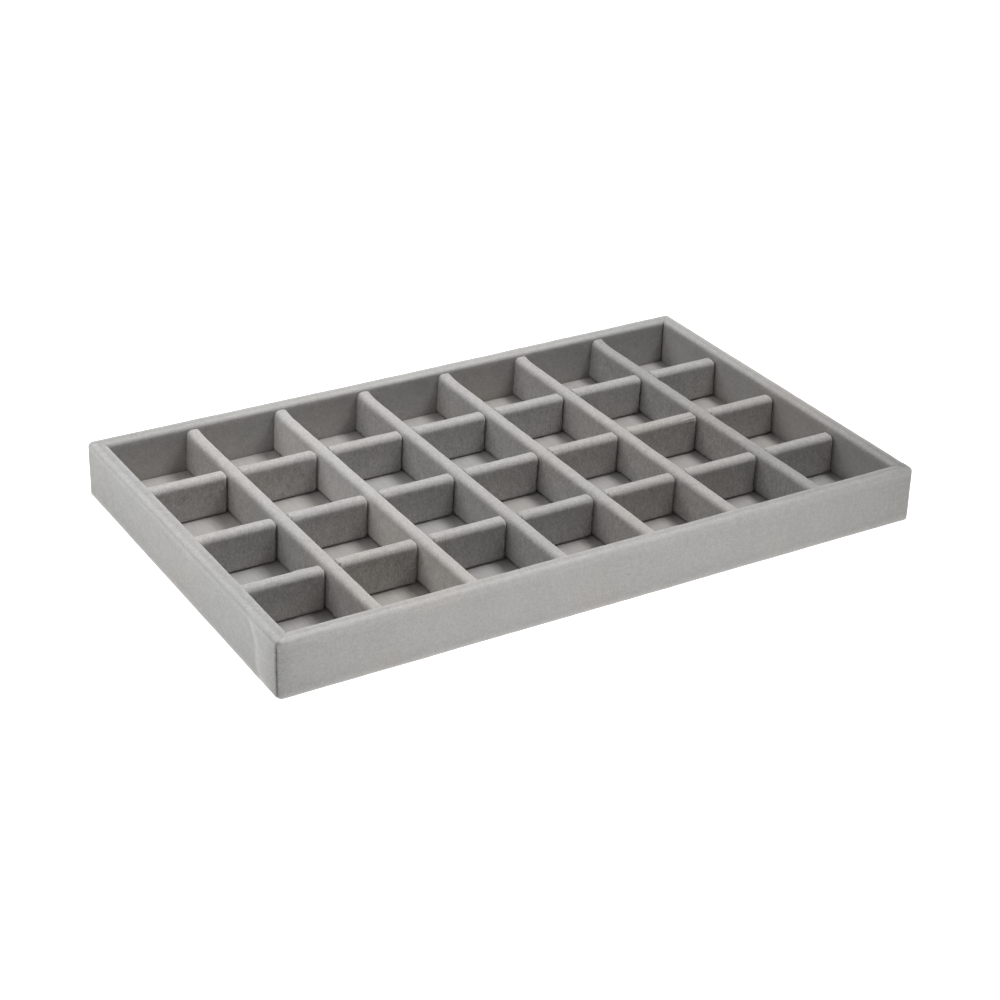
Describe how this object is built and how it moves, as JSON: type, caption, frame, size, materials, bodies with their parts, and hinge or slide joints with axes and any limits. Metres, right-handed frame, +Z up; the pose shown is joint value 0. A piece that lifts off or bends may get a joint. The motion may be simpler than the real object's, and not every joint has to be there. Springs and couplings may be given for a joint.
{
  "type": "jewelry tray",
  "caption": "Low velvet covered jewelry tray, open at the top, divided into a grid of small square cells.",
  "frame": {"origin": "middle of the underside, where the felt sheet meets the table", "axes": "+X along the long side to the right, +Y to the back, +Z up out of the cells"},
  "size_m": [0.36, 0.222, 0.03],
  "materials": {
    "wall_velvet": "short grey velvet pile",
    "divider_velvet": "short grey velvet pile",
    "floor_velvet": "smoother grey velvet",
    "fibreboard": "raw fibreboard",
    "underside_felt": "matte dark grey felt"
  },
  "bodies": {
    "root": {"front_wall_board": "fibreboard", "front_wall_velvet": "wall_velvet", "back_wall_board": "fibreboard", "back_wall_velvet": "wall_velvet", "left_wall_board": "fibreboard", "left_wall_velvet": "wall_velvet", "right_wall_board": "fibreboard", "right_wall_velvet": "wall_velvet", "underside_felt": "underside_felt", "base_board": "fibreboard", "floor_lining": "floor_velvet", "cross_divider_core_1": "fibreboard", "cross_divider_velvet_1": "divider_velvet", "cross_divider_core_2": "fibreboard", "cross_divider_velvet_2": "divider_velvet", "cross_divider_core_3": "fibreboard", "cross_divider_velvet_3": "divider_velvet", "cross_divider_core_4": "fibreboard", "cross_divider_velvet_4": "divider_velvet", "cross_divider_core_5": "fibreboard", "cross_divider_velvet_5": "divider_velvet", "cross_divider_core_6": "fibreboard", "cross_divider_velvet_6": "divider_velvet", "short_divider_cores_1": "fibreboard", "short_divider_velvet_1_1": "divider_velvet", "short_divider_velvet_1_2": "divider_velvet", "short_divider_velvet_1_3": "divider_velvet", "short_divider_velvet_1_4": "divider_velvet", "short_divider_velvet_1_5": "divider_velvet", "short_divider_velvet_1_6": "divider_velvet", "short_divider_velvet_1_7": "divider_velvet", "short_divider_cores_2": "fibreboard", "short_divider_velvet_2_1": "divider_velvet", "short_divider_velvet_2_2": "divider_velvet", "short_divider_velvet_2_3": "divider_velvet", "short_divider_velvet_2_4": "divider_velvet", "short_divider_velvet_2_5": "divider_velvet", "short_divider_velvet_2_6": "divider_velvet", "short_divider_velvet_2_7": "divider_velvet", "short_divider_cores_3": "fibreboard", "short_divider_velvet_3_1": "divider_velvet", "short_divider_velvet_3_2": "divider_velvet", "short_divider_velvet_3_3": "divider_velvet", "short_divider_velvet_3_4": "divider_velvet", "short_divider_velvet_3_5": "divider_velvet", "short_divider_velvet_3_6": "divider_velvet", "short_divider_velvet_3_7": "divider_velvet"}
  },
  "joints": []
}
